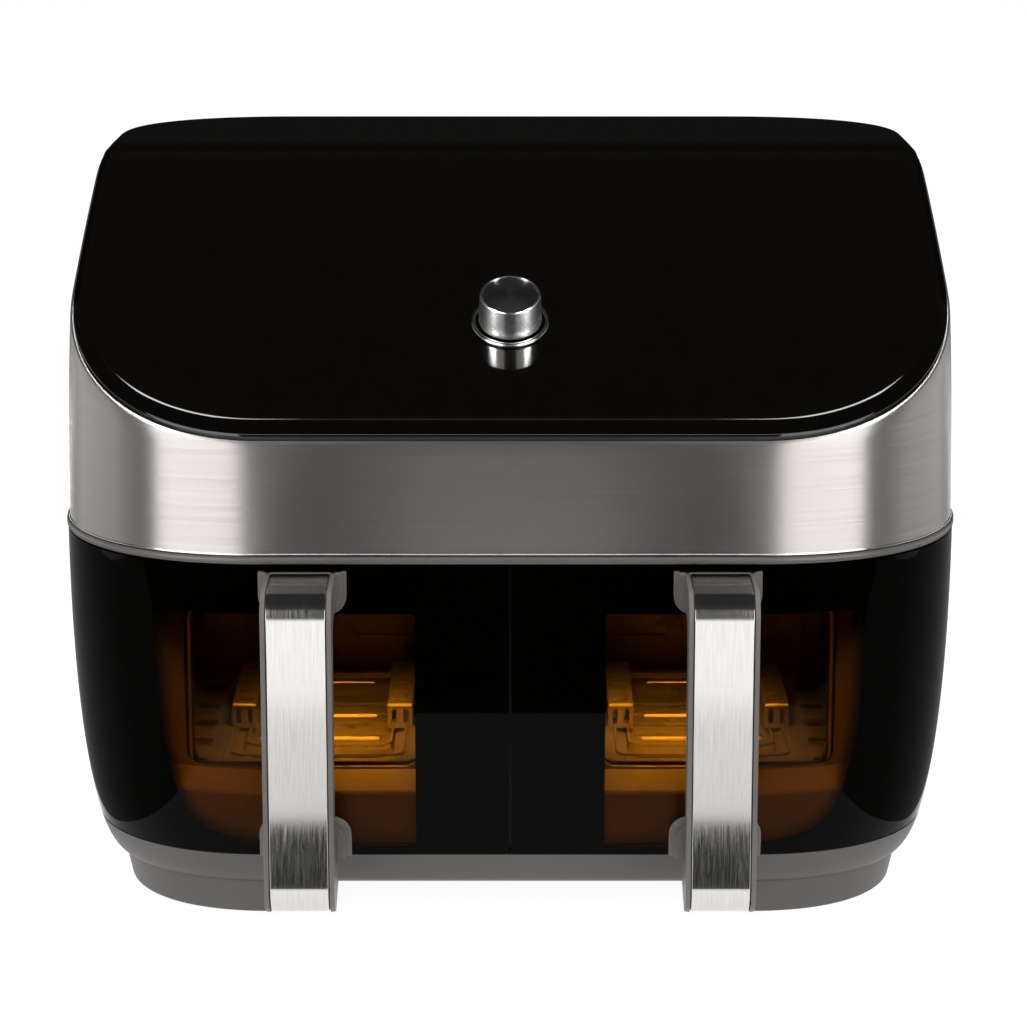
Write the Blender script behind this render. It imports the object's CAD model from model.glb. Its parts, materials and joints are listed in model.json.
"""Looks for the two-drawer air fryer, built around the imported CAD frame."""

import json
import math

import bmesh
import bpy
from mathutils import Matrix, Vector


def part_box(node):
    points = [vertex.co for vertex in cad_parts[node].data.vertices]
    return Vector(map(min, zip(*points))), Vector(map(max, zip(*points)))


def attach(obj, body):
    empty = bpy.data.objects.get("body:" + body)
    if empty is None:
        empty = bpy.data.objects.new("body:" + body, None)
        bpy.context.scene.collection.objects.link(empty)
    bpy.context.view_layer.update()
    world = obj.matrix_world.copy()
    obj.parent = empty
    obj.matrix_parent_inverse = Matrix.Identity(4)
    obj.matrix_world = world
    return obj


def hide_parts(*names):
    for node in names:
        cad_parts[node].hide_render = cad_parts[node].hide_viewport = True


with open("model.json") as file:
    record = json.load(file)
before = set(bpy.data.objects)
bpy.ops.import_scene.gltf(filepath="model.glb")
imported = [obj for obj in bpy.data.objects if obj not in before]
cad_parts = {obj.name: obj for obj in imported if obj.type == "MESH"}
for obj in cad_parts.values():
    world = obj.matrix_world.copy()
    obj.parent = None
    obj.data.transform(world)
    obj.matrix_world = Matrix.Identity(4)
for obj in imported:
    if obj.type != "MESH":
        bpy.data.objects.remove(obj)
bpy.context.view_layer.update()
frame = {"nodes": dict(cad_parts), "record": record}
nodes = frame["nodes"]

# ---------------------------------------------------------------- the design's own measures
HALF_WIDTH, BODY_DEPTH, HEIGHT = 0.1915, 0.305, 0.315
FRONT_RADIUS, FRONT_POWER = 0.089, 2.2
REAR_RADIUS, REAR_POWER = 0.088, 2.4
CORNER_STEPS = 36
STRIP_BOTTOM, STRIP_TOP = 0.0170, 0.0322
RING_BOTTOM, BAND_BOTTOM, BAND_TOP_FRONT = 0.1628, 0.1663, 0.2139
COVER_FRONT, COVER_EDGE, KINK_DEPTH, REAR_DROP = 0.2224, 0.0046, 0.1700, 0.003
SEAM_GAP, LOWER_OUT, LOWER_INSET, LOWER_POWER = 0.0008, 0.0023, 0.021, 2.2
LEAN, BAND_FLARE, RING_OUT = 0.031, 0.0015, 0.0028
SIDE_SPLIT, REAR_SPLIT, SLOPE_START = 0.094, 0.212, 0.004
SLOPE = math.atan2(HEIGHT - COVER_FRONT, KINK_DEPTH - SLOPE_START)
KINK_BLEND = 0.014
HANDLE_OUT = 0.0435
FACE_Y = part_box("trim_ring")[0][1] + RING_OUT
HANDLE_X = 0.0870
KNOB_DEPTH = 0.0595
OPENING_X, RIM_X, CRISPER_X, WING_X = 0.0882, 0.0868, 0.0875, 0.0362
SIDES = (("left", -1), ("right", 1))


def depth(d):
    return FACE_Y + d


# ---------------------------------------------------------------- outline
def lower_inset(z):
    u = min(1.0, max(0.0, (RING_BOTTOM - z) / (RING_BOTTOM - STRIP_BOTTOM)))
    return LOWER_INSET * (1 - (1 - u**LOWER_POWER) ** (1 / LOWER_POWER)) - LOWER_OUT


def half_outline(inset, stops=()):
    """The right half of the body's outline, with extra points along the side at the stops."""
    points, steps = [], CORNER_STEPS
    cx, cy, r = HALF_WIDTH - FRONT_RADIUS, depth(FRONT_RADIUS), FRONT_RADIUS - inset
    for k in range(steps + 1):
        a = k / steps * math.pi / 2
        x = cx + r * math.sin(a) ** (2 / FRONT_POWER)
        points.append((x, cy - r * max(0.0, math.cos(a)) ** (2 / FRONT_POWER)))
    points += [(HALF_WIDTH - inset, depth(stop)) for stop in stops]
    cx, cy, r = HALF_WIDTH - REAR_RADIUS, depth(BODY_DEPTH - REAR_RADIUS), REAR_RADIUS - inset
    for k in range(steps + 1):
        a = k / steps * math.pi / 2
        x = cx + r * max(0.0, math.cos(a)) ** (2 / REAR_POWER)
        points.append((x, cy + r * math.sin(a) ** (2 / REAR_POWER)))
    return points


SIDE_STOPS = tuple(FRONT_RADIUS + 0.008 * k for k in range(1, 16))


def front_half(inset, end):
    """The right half of the outline, from the middle to the side at a depth."""
    if end < FRONT_RADIUS:
        return [(x, y) for x, y in half_outline(inset)[: CORNER_STEPS + 1] if y <= depth(end)]
    stops = [s for s in SIDE_STOPS if s < end - 0.002] + [end]
    return half_outline(inset, stops)[: CORNER_STEPS + 1 + len(stops)]


def cover_z(y):
    """Control slope and flat top, with a small round between them."""
    d = y - FACE_Y
    slope, fall = math.tan(SLOPE), REAR_DROP / (BODY_DEPTH - KINK_DEPTH)
    t = d - KINK_DEPTH
    if abs(t) >= KINK_BLEND:
        return HEIGHT + (t * slope if t < 0 else -t * fall)
    mean, half = (slope - fall) / 2, (slope + fall) / 2
    return HEIGHT + t * mean - half * (t * t / KINK_BLEND + KINK_BLEND) / 2


def band_top(y):
    return cover_z(y) - (COVER_FRONT - BAND_TOP_FRONT) + SLOPE_START * math.tan(SLOPE)


def leaned(x, y, z):
    u = max(0.0, (z - BAND_BOTTOM) / (HEIGHT - BAND_BOTTOM))
    return Vector((x * (1 - LEAN * u**3), y, z))


def both_sides(half):
    first = 1 if half[0][0] < 1e-6 else 0
    return [(-x, y) for x, y in reversed(half[first:])] + list(half)


# ---------------------------------------------------------------- mesh builders
def finish_mesh(name, bm, material, angle=32, bevel=0.0, segments=2):
    bmesh.ops.recalc_face_normals(bm, faces=bm.faces)
    mesh = bpy.data.meshes.new(name)
    bm.to_mesh(mesh)
    bm.free()
    mesh.shade_smooth()
    mesh.set_sharp_from_angle(angle=math.radians(angle))
    obj = bpy.data.objects.new(name, mesh)
    bpy.context.scene.collection.objects.link(obj)
    if material:
        mesh.materials.append(material)
    if bevel:
        add_bevel(obj, bevel, segments)
    return obj


def add_bevel(obj, width, segments=2, angle=32):
    bevel = obj.modifiers.new("Bevel", "BEVEL")
    bevel.width = width
    bevel.segments = segments
    bevel.limit_method = "ANGLE"
    bevel.angle_limit = math.radians(angle)
    bevel.harden_normals = True
    bevel.use_clamp_overlap = True


def settle(obj):
    """Applies the modifiers."""
    bpy.context.view_layer.update()
    graph = bpy.context.evaluated_depsgraph_get()
    evaluated = obj.evaluated_get(graph)
    mesh = bpy.data.meshes.new_from_object(evaluated, preserve_all_data_layers=True, depsgraph=graph)
    obj.modifiers.clear()
    old = obj.data
    obj.data = mesh
    mesh.name = obj.name
    if isinstance(old, bpy.types.Mesh):
        bpy.data.meshes.remove(old)


def cut(obj, *cutters, operation="DIFFERENCE"):
    """Cuts each cutter out of the piece, or keeps what lies inside it, and removes the cutter."""
    for cutter in cutters:
        modifier = obj.modifiers.new("Cut", "BOOLEAN")
        modifier.operation = operation
        modifier.solver = "EXACT"
        modifier.object = cutter
    settle(obj)
    for cutter in cutters:
        bpy.data.objects.remove(cutter)
    obj.data.set_sharp_from_angle(angle=math.radians(32))


def running(points, closed=False):
    """Distance along a row of points."""
    total, made = 0.0, [0.0]
    for a, b in zip(points, points[1:]):
        total += (b - a).length
        made.append(total)
    if closed:
        made.append(total + (points[0] - points[-1]).length)
    return made


def loft(name, rows, material, along=False, **more):
    """Quads between closed rows of points. along joins the last row to the first; otherwise the
    two end rows are filled. UV is metres along and around."""
    bm = bmesh.new()
    uv = bm.loops.layers.uv.new("UVMap")
    made = [[bm.verts.new(p) for p in row] for row in rows]
    middle = len(rows[0]) // 2
    us = running([row[middle] for row in rows], along)
    vs = [running(row, True) for row in rows]
    count, last = len(rows), len(rows[0])
    for i in range(count if along else count - 1):
        a, b = made[i], made[(i + 1) % count]
        for j in range(last):
            k = (j + 1) % last
            face = bm.faces.new((a[j], a[k], b[k], b[j]))
            va, vb = vs[i], vs[(i + 1) % count]
            places = ((us[i], va[j]), (us[i], va[j + 1]), (us[i + 1], vb[j + 1]), (us[i + 1], vb[j]))
            for loop, place in zip(face.loops, places):
                loop[uv].uv = place
    if not along:
        bm.faces.new(made[0][::-1])
        bm.faces.new(made[-1])
    return finish_mesh(name, bm, material, **more)


def swept(name, pairs, path_of, material, **more):
    """A cross-section of (inset, height) pairs carried along the path that path_of gives."""
    lines = []
    for inset, z in pairs:
        height = z if callable(z) else (lambda y, z=z: z)
        lines.append([leaned(x, y, height(y)) for x, y in path_of(inset)])
    return loft(name, [list(section) for section in zip(*lines)], material, **more)


def bridged(name, rings, material, **more):
    """Rings joined in order, the first and last filled with rungs across. Each ring is
    mirrored left to right, so that its points pair off."""
    bm = bmesh.new()
    made = [[bm.verts.new(p) for p in ring] for ring in rings]
    count = len(made[0])
    for a, b in zip(made, made[1:]):
        for j in range(count):
            k = (j + 1) % count
            if (a[j].co - a[k].co).length > 1e-7 or (b[j].co - b[k].co).length > 1e-7:
                bm.faces.new((a[j], a[k], b[k], b[j]))
    for ring in (made[0], made[-1]):
        for j in range(count // 2 - 1):
            bm.faces.new((ring[j], ring[j + 1], ring[count - 2 - j], ring[count - 1 - j]))
    return finish_mesh(name, bm, material, **more)


def ring_of(half, z):
    """A whole ring from its right half, at one height or at a height that depends on y."""
    height = z if callable(z) else (lambda y: z)
    around = [(x, y) for x, y in half] + [(-x, y) for x, y in reversed(half)]
    return [leaned(x, y, height(y)) for x, y in around]


def arc(cx, cz, radius, start, end, steps):
    angles = [math.radians(start + (end - start) * k / steps) for k in range(steps + 1)]
    return [(cx + radius * math.cos(a), cz + radius * math.sin(a)) for a in angles]


def rounded_half(half_width, front, back, radius, middle, steps):
    """The right half of a rounded rectangle, from front to back."""
    points = []
    for cy, start in ((front + radius, -90), (back - radius, 0)):
        points += arc(middle + half_width - radius, cy, radius, start, start + 90, steps)
    return points


def slab(name, half_width, low, high, radius, middle, front, back, material, **more):
    """A plate in the XZ plane with rounded corners, between two depths."""
    flat = rounded_half(half_width, low, high, radius, middle, 6)
    around = flat + [(2 * middle - x, z) for x, z in reversed(flat)]
    rings = [[Vector((x, depth(d), z)) for x, z in around] for d in (front, back)]
    return bridged(name, rings, material, **more)


def box(name, low, high, material, **more):
    low, high = Vector(low), Vector(high)
    bm = bmesh.new()
    bmesh.ops.create_cube(bm, size=1.0)
    bmesh.ops.scale(bm, vec=high - low, verts=bm.verts)
    bmesh.ops.translate(bm, vec=(low + high) / 2, verts=bm.verts)
    return finish_mesh(name, bm, material, **more)


def turned(name, profile, material, place, steps=96, **more):
    """A closed profile of (radius, height) turned about Z, then placed by a matrix."""
    rows = []
    for k in range(steps):
        a = k / steps * math.tau
        rows.append([place @ Vector((r * math.cos(a), r * math.sin(a), z)) for r, z in profile])
    obj = loft(name, rows, material, along=True, **more)
    bm = bmesh.new()
    bm.from_mesh(obj.data)
    bmesh.ops.remove_doubles(bm, verts=bm.verts, dist=1e-7)
    bmesh.ops.recalc_face_normals(bm, faces=bm.faces)
    bm.to_mesh(obj.data)
    bm.free()
    return obj


# ---------------------------------------------------------------- materials
class Nodes:
    """A short way to write a material's nodes."""

    def __init__(self, name):
        self.material = bpy.data.materials.new(name)
        self.material.use_nodes = True
        self.tree = self.material.node_tree
        self.shader = self.tree.nodes["Principled BSDF"]

    def add(self, kind, **settings):
        node = self.tree.nodes.new(kind)
        for key, value in settings.items():
            if hasattr(node, key):
                setattr(node, key, value)
            else:
                node.inputs[key.replace("_", " ")].default_value = value
        return node

    def link(self, a, b):
        self.tree.links.new(a, b)

    def set(self, **values):
        for key, value in values.items():
            self.shader.inputs[key.replace("_", " ")].default_value = value
        return self

    def coordinates(self, kind="Object", scale=(1, 1, 1), rotation=(0, 0, 0)):
        place = self.add("ShaderNodeTexCoord")
        mapping = self.add("ShaderNodeMapping")
        mapping.inputs["Scale"].default_value = scale
        mapping.inputs["Rotation"].default_value = rotation
        self.link(place.outputs[kind], mapping.inputs["Vector"])
        return mapping.outputs["Vector"]

    def noise(self, vector, scale=1.0, detail=3.0, roughness=0.5):
        node = self.add("ShaderNodeTexNoise")
        node.inputs["Scale"].default_value = scale
        node.inputs["Detail"].default_value = detail
        node.inputs["Roughness"].default_value = roughness
        self.link(vector, node.inputs["Vector"])
        return node.outputs["Fac"]

    def spread(self, value, low, high, start=0.3, stop=0.7):
        node = self.add("ShaderNodeMapRange")
        node.inputs["From Min"].default_value = start
        node.inputs["From Max"].default_value = stop
        node.inputs["To Min"].default_value = low
        node.inputs["To Max"].default_value = high
        self.link(value, node.inputs["Value"])
        return node.outputs["Result"]

    def sum_of(self, first, second, share):
        """Two fields added, the first over its share of 0 to 1 and the second over the rest."""
        node = self.add("ShaderNodeMath", operation="ADD")
        self.link(self.spread(first, 0.0, share), node.inputs[0])
        self.link(self.spread(second, 0.0, 1 - share), node.inputs[1])
        return node.outputs[0]

    def between(self, value, dark, light):
        """A colour that runs from dark to light as the value runs from 0 to 1."""
        node = self.add("ShaderNodeValToRGB")
        for element, colour in zip(node.color_ramp.elements, (dark, light)):
            element.color = (*colour, 1.0)
        self.link(value, node.inputs["Fac"])
        return node.outputs["Color"]

    def tint(self, value, dark, light):
        self.link(self.between(value, dark, light), self.shader.inputs["Base Color"])

    def rough(self, value, low, high, start=0.3, stop=0.7):
        self.link(self.spread(value, low, high, start, stop), self.shader.inputs["Roughness"])

    def bump(self, height, strength, distance):
        node = self.add("ShaderNodeBump")
        node.inputs["Strength"].default_value = strength
        node.inputs["Distance"].default_value = distance
        self.link(height, node.inputs["Height"])
        self.link(node.outputs["Normal"], self.shader.inputs["Normal"])
        return self


def scaled(colour, factor):
    return tuple(min(1.0, c * factor) for c in colour)


def brushed_metal(name, colour, along, roughness, anisotropic, depth_m=0.00002, vary=1.0):
    """Metal with fine scratches. along gives the stretch of the grain in each direction."""
    n = Nodes(name)
    grain = n.noise(n.coordinates("UV", along), 1.0, 5.0, 0.62)
    broad = n.noise(n.coordinates("Object", (9, 9, 9)), 1.0, 2.0)
    n.rough(grain, roughness - 0.05 * vary, roughness + 0.07 * vary)
    n.tint(n.sum_of(grain, broad, 0.75), scaled(colour, 1 - 0.10 * vary), scaled(colour, 1 + 0.06 * vary))
    n.set(Metallic=1.0, Anisotropic=anisotropic, Anisotropic_Rotation=0.25)
    tangent = n.add("ShaderNodeTangent", direction_type="UV_MAP")
    n.link(tangent.outputs["Tangent"], n.shader.inputs["Tangent"])
    n.bump(grain, 0.35, depth_m)
    return n.material


def moulded_plastic(name, colour, roughness=0.45, grain=1400.0, depth_m=0.00005, strength=0.5):
    """Injection-moulded plastic: an even fine grain, a little colour and sheen variation."""
    n = Nodes(name)
    place = n.coordinates()
    fine = n.noise(place, grain, 2.0, 0.6)
    broad = n.noise(place, 22.0, 3.0)
    n.tint(n.spread(broad, 0.0, 1.0), scaled(colour, 0.93), scaled(colour, 1.07))
    n.rough(broad, roughness - 0.03, roughness + 0.04)
    n.bump(fine, strength, depth_m)
    return n.material


def polished_black(name, colour, roughness=0.035, ior=1.49):
    """Piano-black moulding: faint orange peel and hairline handling marks."""
    n = Nodes(name)
    place = n.coordinates()
    peel = n.noise(place, 120.0, 1.0)
    marks = n.noise(n.coordinates(scale=(900, 60, 900), rotation=(0.2, 0.1, 0.7)), 1.0, 4.0, 0.7)
    n.rough(marks, roughness, roughness + 0.05, 0.45, 0.75)
    n.tint(n.spread(peel, 0, 1), colour, scaled(colour, 1.25))
    n.set(IOR=ior)
    n.bump(peel, 0.04, 0.0002)
    return n.material


def tinted_lens(name, colour):
    n = Nodes(name)
    peel = n.noise(n.coordinates(), 60.0, 1.0)
    n.rough(peel, 0.0, 0.015)
    n.tint(n.spread(peel, 0, 1), colour, scaled(colour, 0.97))
    n.set(Transmission_Weight=1.0, IOR=1.13)
    n.bump(peel, 0.02, 0.0003)
    return n.material


def clear_glass(name):
    n = Nodes(name)
    smear = n.noise(n.coordinates(), 30.0, 3.0)
    n.rough(smear, 0.0, 0.03)
    n.set(Transmission_Weight=1.0, IOR=1.3, Base_Color=(0.96, 0.97, 0.95, 1.0))
    return n.material


def coated_metal(name, colour, roughness=0.3, speck=2600.0, metallic=0.6, fade=None):
    """Non-stick coating or heat-stained sheet: fine speckle over broad staining. fade gives two
    heights, between which it darkens upwards."""
    n = Nodes(name)
    place = n.coordinates()
    fine = n.noise(place, speck, 2.0, 0.7)
    stain = n.noise(place, 18.0, 4.0, 0.6)
    tint = n.between(n.sum_of(fine, stain, 0.35), scaled(colour, 0.75), scaled(colour, 1.15))
    if fade:
        split = n.add("ShaderNodeSeparateXYZ")
        dim = n.add("ShaderNodeVectorMath", operation="SCALE")
        n.link(place, split.inputs[0])
        n.link(tint, dim.inputs[0])
        n.link(n.spread(split.outputs["Z"], 1.0, 0.06, *fade), dim.inputs["Scale"])
        tint = dim.outputs[0]
        n.set(Specular_IOR_Level=0.1)
    n.link(tint, n.shader.inputs["Base Color"])
    n.rough(stain, roughness - 0.05, roughness + 0.1)
    n.set(Metallic=metallic)
    n.bump(fine, 0.25, 0.00003)
    return n.material


def soft_rubber(name, colour):
    n = Nodes(name)
    fine = n.noise(n.coordinates(), 1800.0, 3.0, 0.7)
    n.tint(n.spread(fine, 0, 1), colour, scaled(colour, 1.4))
    n.rough(fine, 0.62, 0.8)
    n.bump(fine, 0.4, 0.00004)
    return n.material


def board(name):
    """Circuit board: green lacquer with lighter traces."""
    n = Nodes(name)
    brick = n.add(
        "ShaderNodeTexBrick", Scale=240.0, Color1=(0.01, 0.10, 0.04, 1), Color2=(0.012, 0.13, 0.05, 1),
        Mortar=(0.02, 0.18, 0.07, 1)
    )
    n.link(n.coordinates(), brick.inputs["Vector"])
    n.link(brick.outputs["Color"], n.shader.inputs["Base Color"])
    n.set(Roughness=0.35)
    n.bump(brick.outputs["Fac"], 0.3, 0.00005)
    return n.material


def lamp_material(name):
    n = Nodes(name)
    ripple = n.noise(n.coordinates(), 400.0, 1.0)
    n.rough(ripple, 0.15, 0.3)
    n.set(Base_Color=(1.0, 0.85, 0.6, 1), Emission_Color=(1.0, 0.72, 0.42, 1), Emission_Strength=6.0)
    n.bump(ripple, 0.3, 0.0003)
    return n.material


MATERIALS = {
    "black_gloss": polished_black("black_gloss_moulding", (0.0006, 0.0005, 0.0003)),
    "front_gloss": polished_black("front_gloss_mask", (0.0003, 0.0003, 0.0002), 0.02, 1.13),
    "brushed_steel": brushed_metal(
        "brushed_steel_band", (0.59, 0.556, 0.536), (10, 1000, 1), 0.42, 1.0, depth_m=0.00006
    ),
    "strip_steel": brushed_metal(
        "brushed_steel_strip", (0.68, 0.665, 0.645), (70, 1500, 1), 0.15, 0.6, depth_m=0.000001, vary=1.1
    ),
    "spun_steel": brushed_metal(
        "spun_steel", (0.60, 0.59, 0.58), (2200, 14, 1), 0.24, 0.7, depth_m=0.000003, vary=0.3
    ),
    "dial_face": brushed_metal("dial_face_steel", (0.34, 0.33, 0.33), (1800, 10, 1), 0.34, 0.5),
    "polished_steel": coated_metal("polished_steel", (0.72, 0.71, 0.70), 0.12, 900.0, 1.0),
    "grey_plastic": moulded_plastic("warm_grey_plastic", (0.055, 0.049, 0.044)),
    "trim": moulded_plastic("trim_grey", (0.070, 0.063, 0.059), 0.3, 1200.0, 0.00003, 0.3),
    "handle_plastic": moulded_plastic("handle_plastic", (0.088, 0.081, 0.075), 0.4, 1500.0, 0.00004, 0.4),
    "black_plastic": moulded_plastic("black_plastic", (0.012, 0.012, 0.012), 0.42),
    "mask": moulded_plastic("black_mask", (0.002, 0.002, 0.002), 0.6, 900.0),
    "amber_lens": tinted_lens("amber_lens", (0.62, 0.31, 0.02)),
    "clear_glass": clear_glass("inner_glass"),
    "nonstick": coated_metal("nonstick_coating", (0.16, 0.145, 0.125), 0.3),
    "bead_steel": coated_metal("bead_steel", (0.78, 0.70, 0.52), 0.30, 1800.0, 0.4),
    "sheet_steel": coated_metal("sheet_steel", (0.50, 0.49, 0.47), 0.32, 1500.0, 1.0),
    "surround": coated_metal(
        "window_surround_metal", (0.085, 0.080, 0.066), 0.42, 1500.0, 0.3, fade=(0.104, 0.132)
    ),
    "ledge": coated_metal("window_ledge_metal", (0.14, 0.13, 0.10), 0.40, 1500.0, 0.3),
    "element_steel": coated_metal("element_steel", (0.16, 0.15, 0.14), 0.45, 1100.0, 1.0),
    "silicone": soft_rubber("silicone", (0.02, 0.02, 0.02)),
    "rubber": soft_rubber("rubber", (0.012, 0.012, 0.012)),
    "circuit_board": board("circuit_board"),
    "lamp_glass": lamp_material("lamp_glass"),
}

# every CAD node starts with the finish of its record slot
for entry in frame["record"]["subparts"]:
    node = nodes[entry["node"]]
    node.data.materials.clear()
    node.data.materials.append(MATERIALS[entry["material_slot"]])


def place_piece(obj, body, slot, *replaced):
    """Rides the piece on its body, in the record's slot, in place of the CAD nodes that it covers."""
    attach(obj, body)
    if replaced:
        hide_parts(*replaced)


# ---------------------------------------------------------------- body shells
def full_path(inset):
    return both_sides(front_half(inset, REAR_SPLIT))


def make_band():
    wall, lip = 0.0020, 0.0009

    def top(drop):
        return lambda y: band_top(y) - drop

    outer = [(-BAND_FLARE, BAND_BOTTOM), (-BAND_FLARE, BAND_BOTTOM + 0.0003)]
    # rows between the two edges keep the long grain even
    for k in range(1, 8):
        t = k / 8
        outer.append((-BAND_FLARE * (1 - t), lambda y, t=t: BAND_BOTTOM + (band_top(y) - BAND_BOTTOM) * t))
    rows = outer + [(0.0, top(lip)), (lip * 0.3, top(lip * 0.3)), (lip, top(0))]
    rows += [(wall - lip, top(0)), (wall, top(lip)), (wall - BAND_FLARE, BAND_BOTTOM)]
    band = swept("brushed_band", rows, full_path, MATERIALS["brushed_steel"], angle=50)
    place_piece(band, "housing", "brushed_steel", "steel_band")
    # the rolled bead along the lower edge, as (distance out, height)
    bead = [(-0.0001, 0.0), (0.0003, 0.0001), (0.0004, 0.0004), (0.0003, 0.0007), (-0.0001, 0.0009)]
    bead = [(-BAND_FLARE - out, BAND_BOTTOM + up) for out, up in bead]
    bead = swept("band_bead", bead, full_path, MATERIALS["polished_steel"], angle=60)
    place_piece(bead, "housing", "polished_steel", "steel_band")


def make_trim_ring():
    low, high, inner, r = RING_BOTTOM, BAND_BOTTOM - 0.0004, 0.0075, 0.0008
    pairs = [(-RING_OUT + r, low), (-RING_OUT + r * 0.3, low + r * 0.3), (-RING_OUT, low + r)]
    pairs += [(-RING_OUT, high - r), (-RING_OUT + r * 0.3, high - r * 0.3), (-RING_OUT + r, high)]
    pairs += [(inner, high), (inner, low)]
    ring = swept("seam_ring", pairs, full_path, MATERIALS["trim"], angle=50)
    place_piece(ring, "housing", "grey_plastic", "trim_ring")


def make_cover():
    edge, wall, hole_radius = 0.0012, 0.0030, 0.0062
    stops = list(SIDE_STOPS) + [0.214]
    stops = sorted(set(stops + [KINK_DEPTH + KINK_BLEND * k / 4 for k in range(-4, 5)]))

    def ring(inset, drop):
        return ring_of(half_outline(edge + inset, stops), lambda y: cover_z(y) - drop)

    profile = [(0.0, COVER_EDGE), (0.0, 0.0042), (0.0001, 0.0037), (0.0005, 0.0033), (0.0025, 0.0008)]
    profile += [(0.0029, 0.0004), (0.0034, 0.0001), (0.0041, 0.0), (0.0066, 0.0)]
    outer = [ring(*place) for place in profile]
    inner = [ring(0.0025, COVER_EDGE), ring(0.0025, wall + 0.0010), ring(0.0065, wall + 0.0006)]
    cover = bridged("control_cover", outer[::-1] + inner, MATERIALS["black_gloss"], angle=60)
    hole = [(0.0, 0.02), (hole_radius, 0.02), (hole_radius, -0.02), (0.0, -0.02)]
    cut(cover, turned("hole", hole, None, knob_place(), 40))
    cover.data.set_sharp_from_angle(angle=math.radians(60))
    place_piece(cover, "housing", "black_gloss", "top_cover")


def knob_place():
    y = depth(KNOB_DEPTH)
    z = COVER_FRONT + (KNOB_DEPTH - SLOPE_START) * math.tan(SLOPE)
    return Matrix.Translation((0.0, y, z)) @ Matrix.Rotation(SLOPE, 4, "X")


def make_rear():
    wall = 0.0025
    start, step = SIDE_SPLIT + SEAM_GAP, REAR_SPLIT + SEAM_GAP
    low, top_low = STRIP_TOP + SEAM_GAP, RING_BOTTOM - SEAM_GAP
    stops = [start] + [s for s in SIDE_STOPS if start + 0.003 < s < step - 0.003] + [step, step + 0.0003]

    def path(inset):
        half = half_outline(inset, stops)[CORNER_STEPS + 1 :]
        return [(x, y) for x, y in half] + [(-x, y) for x, y in reversed(half)]

    def top(y):
        return cover_z(y) - COVER_EDGE - 0.0006 if y > depth(step + 0.0001) else top_low

    heights = [low + (top_low - 0.002 - low) * (k / 16) for k in range(17)]
    outer = [(lower_inset(z), z) for z in heights] + [(0.0, top)]
    inner = [(lower_inset(z) + wall, z) for z in heights] + [(wall, top)]
    shell = swept("rear_shell", outer + inner[::-1], path, MATERIALS["black_plastic"], angle=50)
    # the air opening behind the grille
    near, far = depth(BODY_DEPTH - 0.012), depth(BODY_DEPTH + 0.010)
    cut(shell, box("opening", (-0.074, near, 0.182), (0.074, far, 0.268), None))
    place_piece(shell, "housing", "black_plastic", "rear_housing")


def make_base():
    wall = 0.0028
    heights = [STRIP_BOTTOM + 0.0006 + (STRIP_TOP - STRIP_BOTTOM - 0.0006) * k / 10 for k in range(11)]
    first = lower_inset(STRIP_BOTTOM) + 0.0012
    outer = [ring_of(half_outline(first, SIDE_STOPS), STRIP_BOTTOM)]
    outer += [ring_of(half_outline(lower_inset(z), SIDE_STOPS), z) for z in heights]
    inner = [
        ring_of(half_outline(lower_inset(z) + wall, SIDE_STOPS), max(z, STRIP_BOTTOM + wall))
        for z in (STRIP_TOP, 0.0250, STRIP_BOTTOM + 0.0029)
    ]
    grey = MATERIALS["grey_plastic"]
    tray = bridged("base_shell", outer + inner, grey, angle=45, bevel=0.0005)
    place_piece(tray, "housing", "grey_plastic", "base_tray")
    top, bottom, wide, x0 = STRIP_BOTTOM + 0.0002, 0.0015, 0.016, 0.095
    for side, sign in SIDES:
        pairs = [(0.0186, top), (0.0192, top - 0.0035), (0.0218, bottom)]
        pairs += [(0.0240 + wide, bottom), (0.0225 + wide, top)]

        def path(inset, sign=sign):
            half = half_outline(inset, SIDE_STOPS)
            half = [(x, y) for x, y in half if x > x0]
            half = [(x0, half[0][1])] + half + [(x0, half[-1][1])]
            return [(sign * x, y) for x, y in half]

        skid = swept(f"skid_{side}", pairs, path, grey, angle=45, bevel=0.001, segments=3)
        place_piece(skid, "housing", "grey_plastic", "base_tray")


def make_grille():
    x, low, high, wall = 0.085, 0.172, 0.278, 0.0022
    front, back = BODY_DEPTH + LOWER_OUT + 0.0004, BODY_DEPTH + 0.020
    grille = slab("vent_spacer", x, low, high, 0.006, 0.0, front, back, MATERIALS["black_plastic"])
    hollow = slab("hollow", x - wall, low + wall, high - wall, 0.004, 0.0, front - 0.005, back - wall, None)
    slots = []
    count, pitch, half, margin = 11, 0.0145, 0.0034, 0.012
    for k in range(count):
        cx = (k - (count - 1) / 2) * pitch or 1e-5
        ends = (back - 0.006, back + 0.004)
        slots.append(slab(f"slot_{k}", half, low + margin, high - margin, 0.0033, cx, *ends, None))
    cut(grille, hollow, *slots)
    add_bevel(grille, 0.0006)
    place_piece(grille, "housing", "black_plastic", "rear_grille")


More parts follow.
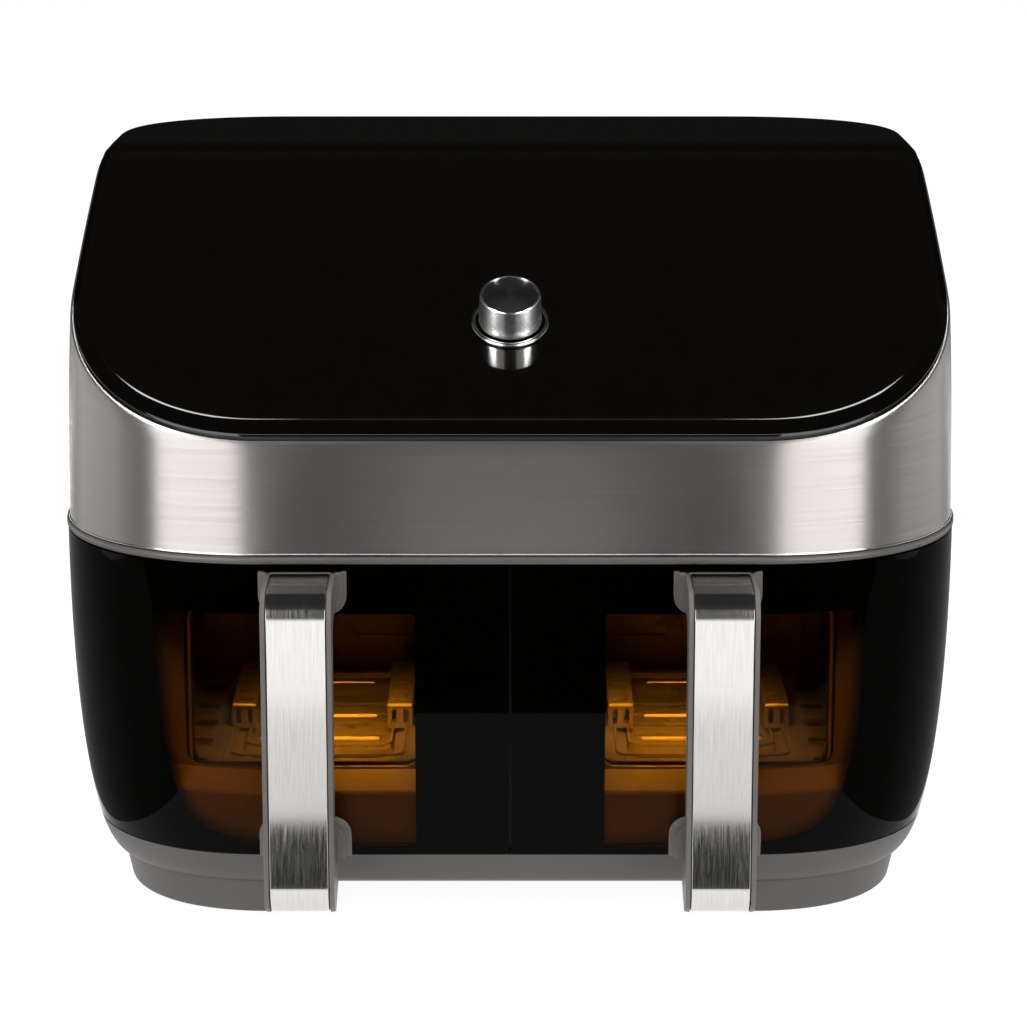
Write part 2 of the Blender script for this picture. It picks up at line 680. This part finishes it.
# ---------------------------------------------------------------- knob
def make_knob():
    place = knob_place()
    bezel = [(0.0149, 0.0004), (0.0149, 0.0013), (0.0152, 0.0017), (0.0156, 0.0019), (0.0161, 0.0018)]
    bezel += [(0.0166, 0.0013), (0.0168, 0.0007), (0.0168, 0.0004)]
    ring = turned("dial_bezel", bezel, MATERIALS["polished_steel"], place, 128, angle=60)
    place_piece(ring, "housing", "polished_steel", "knob_bezel")
    side = [(0.0119, 0.0148), (0.0124, 0.0017), (0.0133, 0.0017), (0.0134, 0.0021), (0.0129, 0.0152)]
    shell = turned("dial_skirt", side, MATERIALS["spun_steel"], place, 128, angle=40)
    place_piece(shell, "knob", "brushed_steel", "knob_shell")
    rim = [(0.01285, 0.01525), (0.0127, 0.0157), (0.0123, 0.0160), (0.0119, 0.0160)]
    rim += [(0.0119, 0.0149), (0.0127, 0.0149)]
    rim = turned("dial_rim", rim, MATERIALS["polished_steel"], place, 128, angle=40)
    place_piece(rim, "knob", "polished_steel", "knob_shell")
    disc = [(0.0, 0.0149), (0.01185, 0.0149), (0.01185, 0.0158), (0.0117, 0.0159), (0.0, 0.0159)]
    disc = turned("dial_face", disc, MATERIALS["dial_face"], place, 128, angle=40)
    place_piece(disc, "knob", "brushed_steel", "knob_shell")


# ---------------------------------------------------------------- drawer fronts
# the part of each front that can be seen through, as (distance from the middle, height)
SEE_THROUGH = [(0.0400, 0.1415), (0.1505, 0.1415), (0.1500, 0.1200), (0.1470, 0.0850), (0.1425, 0.0640)]
SEE_THROUGH += [(0.1385, 0.0510), (0.1300, 0.0430), (0.1120, 0.0375), (0.0400, 0.0355)]


def prism(name, outline, sign, front, back):
    rings = [[Vector((sign * x, depth(d), z)) for x, z in outline] for d in (front, back)]
    return loft(name, rings, None)


def make_front(side, sign):
    def path(inset, start, end):
        half = front_half(inset, end)
        x0, y0 = half[0]
        line = [(start + (x0 - start) * k / 6, y0) for k in range(6)]
        return [(sign * x, y) for x, y in line + half]

    def panel(name, offset, wall, start, low, high, end, material, **more):
        rows = 22
        heights = [low + (high - low) * k / rows for k in range(rows + 1)]
        pairs = [(lower_inset(z) + offset, z) for z in heights]
        pairs += [(lower_inset(z) + offset + wall, z) for z in reversed(heights)]
        return swept(name, pairs, lambda inset: path(inset, start, end), material, angle=40, **more)

    def opening(outline=SEE_THROUGH):
        return prism("opening", outline, sign, -0.03, 0.12)

    def hole(*size, middle=OPENING_X):
        return slab("hole", *size, sign * middle, -0.03, 0.05, None)

    body, frame_node = f"{side}_drawer", f"front_frame_{side}"
    outer = (0.0, 0.0030, 0.0006, STRIP_TOP + SEAM_GAP, RING_BOTTOM - SEAM_GAP, SIDE_SPLIT)
    shell = panel(f"front_shell_{side}", *outer, MATERIALS["front_gloss"])
    cut(shell, opening())
    place_piece(shell, body, "black_gloss", f"window_lens_{side}")
    lens = panel(f"front_lens_{side}", *outer, MATERIALS["amber_lens"])
    cut(lens, opening(), operation="INTERSECT")
    place_piece(lens, body, "amber_lens", f"window_lens_{side}")

    size = (0.0062, 0.0010, 0.0370, STRIP_TOP + 0.0020, RING_BOTTOM - 0.0040, 0.0480)
    inner = panel(f"window_surround_{side}", *size, MATERIALS["surround"])
    cut(inner, hole(0.0492, 0.0720, 0.1415, 0.006))
    place_piece(inner, body, "sheet_steel", frame_node)
    ledge = [(0.0064, 0.0716), (0.0040, 0.0622), (0.0036, 0.0608), (0.0038, 0.0598), (0.0061, 0.0592)]
    pairs = [(lower_inset(z) + inset, z) for inset, z in ledge]

    def ledge_path(inset):
        return path(inset, 0.0385, 0.0290)

    strip = swept(f"window_ledge_{side}", pairs, ledge_path, MATERIALS["ledge"], angle=40)
    place_piece(strip, body, "sheet_steel", frame_node)
    size = (0.0076, 0.0010, 0.0030, STRIP_TOP + 0.0020, RING_BOTTOM - 0.0030, SIDE_SPLIT - 0.002)
    back = panel(f"front_backing_{side}", *size, MATERIALS["mask"])
    low, high = STRIP_TOP + SEAM_GAP + 0.0003, RING_BOTTOM - SEAM_GAP - 0.0003
    size = (0.0031, 0.0044, 0.0032, low, high, SIDE_SPLIT - 0.0003)
    core = panel(f"front_core_{side}", *size, MATERIALS["black_plastic"])
    wider = [(x + (0.003 if x > 0.05 else -0.003), z + (0.003 if z > 0.1 else 0.0)) for x, z in SEE_THROUGH]
    cut(core, opening(wider))
    place_piece(core, body, "black_plastic", frame_node)
    cut(back, hole(0.0500, 0.0700, 0.1430, 0.006))
    place_piece(back, body, "black_plastic", frame_node)
    size = (0.0497, 0.0685, 0.1410, 0.006, sign * RIM_X, 0.0150, 0.0164)
    rim = slab(f"window_rim_{side}", *size, MATERIALS["ledge"])
    cut(rim, hole(0.0484, 0.0697, 0.1398, 0.005, middle=RIM_X))
    add_bevel(rim, 0.0004, 2)
    place_piece(rim, body, "sheet_steel", frame_node)


# ---------------------------------------------------------------- handles
def handle_outer(grow=0.0):
    out, top, bottom = -HANDLE_OUT - grow, 0.1602 + grow, 0.0209 - grow
    upper, lower = 0.0110 + grow, 0.0150 + grow
    points = [(-0.0040, top)]
    points += arc(out + upper, top - upper, upper, 90, 180, 14)
    points += arc(out + lower, bottom + lower, lower, 180, 270, 14)
    return points


def extruded(name, outline, half, x, **more):
    rows = [[Vector((x + s * half, depth(d), z)) for d, z in outline] for s in (-1, 1)]
    return loft(name, rows, None, **more)


def make_handle(side, sign):
    x, body_name, node = sign * HANDLE_X, f"{side}_drawer", f"handle_body_{side}"
    grip, bend = 0.0125, 0.009
    inside = [(0.0058, 0.0318), (0.0014, 0.0480)]
    inside += arc(-HANDLE_OUT + grip + bend, 0.0485, bend, 270, 180, 8)
    inside += arc(-HANDLE_OUT + grip + bend, 0.1370, bend, 180, 90, 8)
    inside += [(-0.0040, 0.1440)]
    body = extruded(f"grip_{side}", handle_outer() + inside, 0.0145, x, angle=40)
    groove = strip_rows("groove", 0.0016, -0.002, 0.0125, x, None)
    cut(body, groove)
    body.data.materials.clear()
    body.data.materials.append(MATERIALS["handle_plastic"])
    add_bevel(body, 0.0007, 3)
    place_piece(body, body_name, "grey_plastic", node)

    size = (0.0010, 0.0001, 0.0121, x)
    strip = strip_rows(f"grip_strip_{side}", *size, MATERIALS["strip_steel"], bevel=0.0003)
    place_piece(strip, body_name, "brushed_steel", f"handle_cover_{side}")

    near = x - sign * 0.0006
    for layer, half, low, out in (("plate", 0.0184, 0.1420, -0.0050), ("boss", 0.0164, 0.1445, -0.0072)):
        size = (half, low, 0.1750, 0.0080, near, out, -0.0026)
        plate = slab(f"upper_{layer}_{side}", *size, MATERIALS["handle_plastic"])
        cut(plate, box("trim", (x - 0.03, depth(-0.02), 0.1602), (x + 0.03, depth(0.01), 0.19), None))
        add_bevel(plate, 0.0006, 3)
        place_piece(plate, body_name, "grey_plastic", node)

    heights = [0.0325 + 0.0190 * k / 8 for k in range(9)]
    for layer, half, high, out in (("plate", 0.0196, 0.0512, 0.0026), ("boss", 0.0170, 0.0485, 0.0048)):
        foot = slab(f"lower_{layer}_{side}", half, 0.0200, high, 0.0080, x, -0.012, 0.020, None)
        rows = []
        for edge in (-0.03, 0.03):
            front = [Vector((x + edge, depth(lower_inset(z) - out), z)) for z in heights]
            rear = [Vector((x + edge, depth(lower_inset(z) - 0.0004), z)) for z in reversed(heights)]
            rows.append(front + rear)
        cut(foot, loft("skin", rows, None), operation="INTERSECT")
        foot.data.materials.clear()
        foot.data.materials.append(MATERIALS["handle_plastic"])
        add_bevel(foot, 0.0005, 2)
        place_piece(foot, body_name, "grey_plastic", node)


def strip_rows(name, deep, shallow, half, x, material, **more):
    """A band along the outside of the handle, between two depths below its face."""
    outer, inner = handle_outer(-shallow), handle_outer(-deep)
    outer[0] = (outer[0][0] - 0.0012, outer[0][1])
    inner[0] = (inner[0][0] - 0.0012, inner[0][1])
    outline = outer + inner[::-1]
    rows = [[Vector((x + half * s, depth(d), z)) for s in (-1, -0.34, 0.34, 1)] for d, z in outline]
    bm = bmesh.new()
    uv = bm.loops.layers.uv.new("UVMap")
    made = [[bm.verts.new(p) for p in row] for row in rows]
    lengths = running([row[0] for row in rows], True)
    count = len(rows)
    for i in range(count):
        a, b = made[i], made[(i + 1) % count]
        for j in range(3):
            face = bm.faces.new((a[j], a[j + 1], b[j + 1], b[j]))
            left, right, start, end = a[j].co.x, a[j + 1].co.x, lengths[i], lengths[i + 1]
            places = ((start, left), (start, right), (end, right), (end, left))
            for loop, place in zip(face.loops, places):
                loop[uv].uv = place
    n = len(outer)
    for j in (0, 3):
        for i in range(n - 1):
            bm.faces.new((made[i][j], made[i + 1][j], made[count - 2 - i][j], made[count - 1 - i][j]))
    return finish_mesh(name, bm, material, angle=40, **more)


# ---------------------------------------------------------------- inside the drawers
def frame_ridge(name, middle, half, front, back, z, material):
    """A low rounded ridge round a rectangle."""
    rings = []
    for grow, rise in ((0.0007, -0.0003), (0.0004, 0.0007), (-0.0004, 0.0007), (-0.0007, -0.0003)):
        flat = rounded_half(half + grow, depth(front - grow), depth(back + grow), 0.006 + grow, middle, 5)
        around = flat + [(2 * middle - x, y) for x, y in reversed(flat)]
        rings.append([Vector((x, y, z + rise)) for x, y in around])
    return loft(name, rings, material, along=True, angle=40)


def rod(name, middle, half, d, z, radius, material):
    """A thin round bar across the drawer with rounded ends."""
    profile = [(0.0, -half), (radius * 0.7, -half + radius * 0.3), (radius, -half + radius)]
    profile += [(r, -h) for r, h in reversed(profile)]
    place = Matrix.Translation((middle, depth(d), z)) @ Matrix.Rotation(math.pi / 2, 4, "Y")
    return turned(name, profile, material, place, 16, angle=60)


def make_crisper(side, sign):
    metal, shine = MATERIALS["nonstick"], MATERIALS["bead_steel"]
    middle, body = sign * CRISPER_X, f"{side}_crisper"
    add_bevel(nodes[f"crisper_plate_{side}"], 0.0005, 2)
    top, rise = 0.0467, 0.0105
    for k, size in enumerate(((0.0330, 0.1195, 0.2300), (0.0390, 0.1045, 0.2330), (0.0450, 0.0815, 0.2360))):
        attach(frame_ridge(f"plate_ridge_{k}_{side}", middle, *size, top, metal), body)
    for edge in (-1, 1):
        x = middle + edge * WING_X
        low, high = (x - 0.0058, depth(0.148), top - 0.0006), (x + 0.0058, depth(0.222), top + rise)
        wing = box(f"plate_wing_{edge + 1}_{side}", low, high, metal)
        slots = []
        for k in (-1, 1):
            low = (x + k * 0.0027 - 0.0011, depth(0.140), top + 0.0016)
            high = (x + k * 0.0027 + 0.0011, depth(0.156), top + rise - 0.0022)
            slots.append(box("slot", low, high, None))
        for k in range(5):
            y = depth(0.158 + k * 0.0135)
            low = (x - 0.0034, y - 0.002, top + rise - 0.003)
            high = (x + 0.0034, y + 0.002, top + rise + 0.003)
            slots.append(box("slot", low, high, None))
        cut(wing, *slots)
        add_bevel(wing, 0.0006, 2)
        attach(wing, body)
    # the rods across the block, as (half length, depth, height, radius)
    beads = [(0.0262, 0.1312, top + rise, 0.0008), (0.0275, 0.1280, top + 0.0006, 0.0009)]
    beads += [(0.0230, 0.1860, top + rise, 0.0004)]
    for k, size in enumerate(beads):
        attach(rod(f"block_bead_{k}_{side}", middle, *size, shine), body)
    for edge in (-1, 1):
        x = middle + edge * WING_X
        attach(rod(f"wing_bead_{edge + 1}_{side}", x, 0.0056, 0.1482, top + rise, 0.0008, shine), body)


def make_rear_ribs(side, sign):
    add_bevel(nodes[f"pan_{side}"], 0.0005, 2)
    for row, z in enumerate((0.0622, 0.0790, 0.0960, 0.1130)):
        for edge in (-1, 1):
            x0, x1 = sorted(sign * CRISPER_X + edge * reach for reach in (0.0115, 0.0420))
            low, high = (x0, depth(0.2490), z - 0.0010), (x1, depth(0.2507), z + 0.0010)
            rib = box(f"rear_rib_{row}_{edge + 1}_{side}", low, high, MATERIALS["nonstick"])
            add_bevel(rib, 0.0006, 3)
            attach(rib, f"{side}_drawer")


def make_middle_post():
    heights = [0.0335 + 0.1285 * k / 16 for k in range(17)]
    edges = [(lower_inset(z) + 0.0034, z) for z in heights]
    edges += [(lower_inset(z) + 0.0060, z) for z in reversed(heights)]

    def path(inset):
        return [(x, depth(inset)) for x in (-0.0024, 0.0, 0.0024)]

    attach(swept("middle_post", edges, path, MATERIALS["mask"]), "housing")


make_middle_post()
make_band()
make_trim_ring()
make_cover()
make_rear()
make_base()
make_grille()
make_knob()
for side, sign in SIDES:
    make_front(side, sign)
    make_handle(side, sign)
    make_crisper(side, sign)
    make_rear_ribs(side, sign)


# ---------------------------------------------------------------- stage, lights and camera
def plane(name, low, high, z, material):
    bm = bmesh.new()
    corners = ((low[0], low[1]), (high[0], low[1]), (high[0], high[1]), (low[0], high[1]))
    bm.faces.new([bm.verts.new((x, y, z)) for x, y in corners])
    obj = finish_mesh(name, bm, material)
    return obj


def pale_floor():
    n = Nodes("pale_floor")
    n.tree.nodes.remove(n.shader)
    diffuse = n.add("ShaderNodeBsdfDiffuse", Color=(0.9, 0.9, 0.9, 1))
    glow = n.add("ShaderNodeEmission", Color=(1.0, 1.0, 1.0, 1), Strength=1.1)
    mix = n.add("ShaderNodeMixShader", Fac=0.85)
    n.link(diffuse.outputs[0], mix.inputs[1])
    n.link(glow.outputs[0], mix.inputs[2])
    n.link(mix.outputs[0], n.tree.nodes["Material Output"].inputs["Surface"])
    return n.material


def card(name, low, high, z, shade):
    """A sheet that only reflections and bounced light see."""
    n = Nodes(name)
    n.set(Base_Color=(shade, shade, shade, 1), Roughness=1.0, Specular_IOR_Level=0.0)
    obj = plane(name, low, high, z, n.material)
    obj.visible_camera = False
    obj.visible_shadow = False
    return obj


def make_floor():
    plane("floor", (-6, -6), (6, 9), 0.0, pale_floor())
    card("dark_card", (-1.2, -2.6), (1.2, -0.36), 0.002, 0.01)
    for side, sign in SIDES:
        low, high = sorted((sign * 0.055, sign * 0.125))
        card(f"handle_card_{side}", (low, -0.352), (high, -0.245), 0.003, 0.01)
        low, high = sorted((sign * 0.22, sign * 0.78))
        card(f"side_card_{side}", (low, -0.36), (high, 0.75), 0.002, 0.16).visible_diffuse = False
    flag = card("back_flag", (-1.6, 0.0), (1.6, 1.4), 0.0, 0.006)
    flag.matrix_world = Matrix.Translation((0, 1.2, 0)) @ Matrix.Rotation(math.pi / 2, 4, "X")
    flag.visible_diffuse = False


def make_world():
    """White where the camera sees it, dim for reflections and between the two for the rest."""
    world = bpy.data.worlds.new("studio")
    bpy.context.scene.world = world
    world.use_nodes = True
    tree = world.node_tree
    background = tree.nodes["Background"]
    background.inputs["Color"].default_value = (1, 1, 1, 1)
    ray = tree.nodes.new("ShaderNodeLightPath")
    glossy, seen = tree.nodes.new("ShaderNodeMapRange"), tree.nodes.new("ShaderNodeMapRange")
    glossy.inputs["To Min"].default_value, glossy.inputs["To Max"].default_value = 0.35, 0.03
    seen.inputs["To Max"].default_value = 1.0
    tree.links.new(ray.outputs["Is Glossy Ray"], glossy.inputs["Value"])
    tree.links.new(glossy.outputs["Result"], seen.inputs["To Min"])
    tree.links.new(ray.outputs["Is Camera Ray"], seen.inputs["Value"])
    tree.links.new(seen.outputs["Result"], background.inputs["Strength"])


def group(name, *pieces):
    """A set of pieces for lights that reach nothing else."""
    made = bpy.data.collections.new(name)
    for piece in pieces:
        made.objects.link(bpy.data.objects[piece])
    return made


def area(name, place, target, width, height, power, reached=None, glossy=True):
    light = bpy.data.lights.new(name, "AREA")
    light.shape = "RECTANGLE"
    light.size, light.size_y = width, height
    light.energy = power
    obj = bpy.data.objects.new(name, light)
    obj.location = place
    obj.rotation_euler = (Vector(target) - Vector(place)).to_track_quat("-Z", "Y").to_euler()
    bpy.context.scene.collection.objects.link(obj)
    obj.visible_camera = False
    obj.visible_glossy = glossy
    if reached:
        obj.light_linking.receiver_collection = reached
    return obj


def light_body():
    """The studio's softboxes, and small lights for the band's edges."""
    all_but_lid = group("all_but_lid", "control_cover")
    all_but_lid.collection_objects[0].light_linking.link_state = "EXCLUDE"
    band, bead = group("band", "brushed_band", "band_bead"), group("bead", "band_bead")
    front, lip = (0, -0.30, 1.2), (0, -0.17, 0.2)
    area("bead_light", front, lip, 0.70, 0.20, 2.0, bead)
    for side, sign in SIDES:
        place, aim = (sign * 0.520, -0.690, 0.31), (sign * 0.134, -0.13, 0.31)
        area(f"softbox_{side}", place, aim, 0.62, 0.62, 4.3)
        place, aim = (sign * 1.05, 0.35, 0.35), (sign * 0.19, 0.05, 0.30)
        area(f"side_softbox_{side}", place, aim, 1.2, 0.7, 1.0, all_but_lid)
        place, aim = (sign * 0.40, 0.80, 0.02), (sign * 0.40, 0.8001, 1.0)
        area(f"band_edge_light_{side}", place, aim, 0.5, 0.5, 1.8, band)
        place, aim = (sign * 0.50, -0.05, 1.2), (sign * 0.15, -0.15, 0.2)
        area(f"band_lip_light_{side}", place, aim, 0.30, 0.40, 5.0, band)
    area("band_lip_front", front, lip, 0.50, 0.20, 0.4, band)
    area("front_fill", (0, -2.2, 1.0), (0, 0, 0.12), 1.6, 1.0, 16, glossy=False)
    area("top_fill", (0, 0.1, 1.9), (0, 0, 0.2), 2.4, 2.4, 60, glossy=False)


def light_strips():
    """Two lights on the floor that the steel handle strips mirror. The far one lies a little
    higher, because lights in one plane hide one another."""
    strips, reach = group("strips", *(f"grip_strip_{side}" for side, _ in SIDES)), 1.6
    for name, near, z, power in (("low", -0.353, 0.004, 2.12), ("far", -0.56, 0.008, 0.80)):
        y = (near - reach) / 2
        area(f"strip_light_{name}", (0, y, z), (0, y, 1.0), 0.6, reach + near, power, strips)


def light_lid():
    lid = group("lid", "control_cover")
    for side, sign in SIDES:
        place, aim = (sign * 0.33, -0.05, 1.2), (sign * 0.15, -0.15, 0.2)
        area(f"lid_light_{side}", place, aim, 0.30, 0.26, 3.4, lid)
    area("lid_light_front", (0, -0.05, 1.2), (0, -0.15, 0.2), 0.44, 0.30, 0.15, lid)
    area("rim_light", (0, -1.17, 0.86), (0, -0.16, 0.25), 1.2, 0.06, 1.2, lid)


def light_dial():
    dial, centre = group("dial", "dial_skirt", "dial_rim"), knob_place().translation
    for side, sign in SIDES:
        place = centre + Vector((sign * 0.42, -0.30, 0.02))
        area(f"dial_light_{side}", place, centre, 0.17, 0.30, 20.0, dial)


def light_inside():
    """Warm spots above the crispers. Each is (place, aim, width, length, power, spread)."""
    spots = {
        "cavity": ((0.078, 0.110, 0.150), (0.078, 0.1101, 0.050), 0.050, 0.030, 0.14, 100),
        "block": ((0.064, 0.072, 0.135), (0.074, 0.140, 0.052), 0.040, 0.020, 0.095, 44),
        "ledge": ((0.060, 0.0040, 0.098), (0.060, 0.0039, 0.0), 0.036, 0.002, 0.06, 110),
    }
    for side, sign in SIDES:
        for name, (place, aim, *size, spread) in spots.items():
            place, aim = [(sign * x, depth(d), z) for x, d, z in (place, aim)]
            light = area(f"{name}_light_{side}", place, aim, *size, glossy=False)
            light.data.color = (1.0, 0.72, 0.60)
            light.data.spread = math.radians(spread)
            light.visible_transmission = False


make_floor()
make_world()
light_body()
light_strips()
light_lid()
light_dial()
light_inside()

CAMERA_DISTANCE, CAMERA_HEIGHT, CAMERA_PITCH, CAMERA_X = 1.4, 0.5209, 0.2361, 0.0014
camera = bpy.data.cameras.new("camera")
camera.sensor_width = 36.0
camera.lens = 121.75
camera_object = bpy.data.objects.new("camera", camera)
camera_object.location = (CAMERA_X, FACE_Y - CAMERA_DISTANCE, CAMERA_HEIGHT)
camera_object.rotation_euler = (math.pi / 2 - CAMERA_PITCH, 0.0, 0.0)
bpy.context.scene.collection.objects.link(camera_object)
bpy.context.scene.camera = camera_object
bpy.context.scene.view_settings.view_transform = "Standard"
